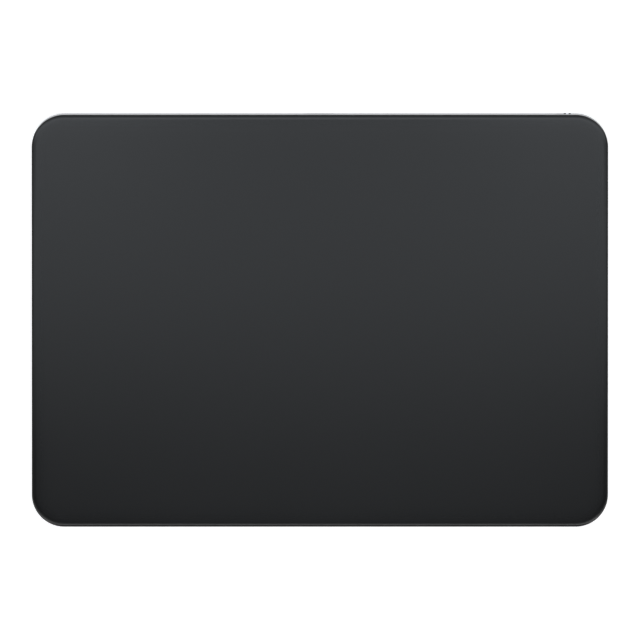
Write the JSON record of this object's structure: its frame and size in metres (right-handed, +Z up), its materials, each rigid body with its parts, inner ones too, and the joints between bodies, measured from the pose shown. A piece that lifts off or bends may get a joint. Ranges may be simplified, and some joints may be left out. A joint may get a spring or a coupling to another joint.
{
  "type": "trackpad",
  "caption": "Wedge-shaped desktop trackpad: a black glass touch plate on leaf springs over an aluminium tray, with a shaker, battery, charging port and slide switch.",
  "frame": {"origin": "middle of the footprint, on the plane of the feet", "axes": "+X to the user's right along the width, +Y to the rear, where the port is, +Z up from the desk"},
  "size_m": [0.16, 0.1149, 0.0108],
  "materials": {
    "cover_glass": "satin",
    "body_aluminium": "satin",
    "base_plastic": "matte",
    "foot_rubber": "matte",
    "gasket_foam": "matte",
    "bond_film": "satin",
    "circuit_board": "satin",
    "chip_black": "matte",
    "socket_plastic": "matte",
    "sheet_steel": "satin",
    "screw_steel": "satin",
    "magnet_nickel": "polished",
    "coil_copper": "gloss",
    "gel": "gloss",
    "cell_foil": "satin",
    "tab_nickel": "satin",
    "cable_film": "gloss",
    "contact_gold": "polished",
    "antenna_ceramic": "matte",
    "knob_aluminium": "satin",
    "flag_green": "gloss"
  },
  "bodies": {
    "base": {"enclosure": "body_aluminium", "port_plate": "body_aluminium", "bottom_cover": "base_plastic", "foot_front_left": "foot_rubber", "foot_front_right": "foot_rubber", "foot_rear_left": "foot_rubber", "foot_rear_right": "foot_rubber", "rim_gasket": "gasket_foam", "cover_bond": "bond_film", "battery_bond": "bond_film", "main_board": "circuit_board", "battery_board": "circuit_board", "board_chips": "chip_black", "switch_housing": "chip_black", "coil_core": "chip_black", "port_tongue": "chip_black", "board_sockets": "socket_plastic", "haptic_bracket": "sheet_steel", "shield_can": "sheet_steel", "port_shell": "sheet_steel", "flexure_front_left": "sheet_steel", "flexure_front_right": "sheet_steel", "flexure_rear_left": "sheet_steel", "flexure_rear_right": "sheet_steel", "flexure_screws": "screw_steel", "board_screws": "screw_steel", "haptic_screws": "screw_steel", "haptic_coil": "coil_copper", "battery_left": "cell_foil", "battery_right": "cell_foil", "cell_tabs": "tab_nickel", "gauge_cable_left": "cable_film", "gauge_cable_right": "cable_film", "battery_cable": "cable_film", "haptic_cable": "cable_film", "touch_cable": "cable_film", "strain_gauges": "cable_film", "port_contacts": "contact_gold", "antenna": "antenna_ceramic"},
    "touch_plate": {"glass_plate": "cover_glass", "glass_bond": "bond_film", "sensor_board": "circuit_board", "touch_chips": "chip_black", "touch_socket": "socket_plastic", "stiffener_plate": "sheet_steel", "haptic_yoke": "sheet_steel", "haptic_magnets": "magnet_nickel"},
    "suspension": {"gel_pad_front_left": "gel", "gel_pad_front_right": "gel", "gel_pad_rear_left": "gel", "gel_pad_rear_right": "gel", "flexure_tip_front_left": "sheet_steel", "flexure_tip_front_right": "sheet_steel", "flexure_tip_rear_left": "sheet_steel", "flexure_tip_rear_right": "sheet_steel"},
    "power_switch": {"power_knob": "knob_aluminium", "switch_flag": "flag_green", "switch_lever": "socket_plastic"}
  },
  "joints": [
    {"name": "plate_press", "type": "slide", "parent": "base", "child": "suspension", "axis": [0, 0.0524, -0.9986], "range_m": [0, 0.0002], "stiffness_N_per_m": 12000, "springref_m": -0.00025, "deforming": ["flexure_front_left", "flexure_front_right", "flexure_rear_left", "flexure_rear_right", "rim_gasket", "touch_cable"]},
    {"name": "plate_haptic", "type": "slide", "parent": "suspension", "child": "touch_plate", "axis": [0, 0.9986, 0.0524], "range_m": [-0.00015, 0.00015], "stiffness_N_per_m": 20000, "deforming": ["gel_pad_front_left", "gel_pad_front_right", "gel_pad_rear_left", "gel_pad_rear_right"]},
    {"name": "power_switch_slide", "type": "slide", "parent": "base", "child": "power_switch", "axis": [-1, 0, 0], "range_m": [0, 0.0022]}
  ]
}
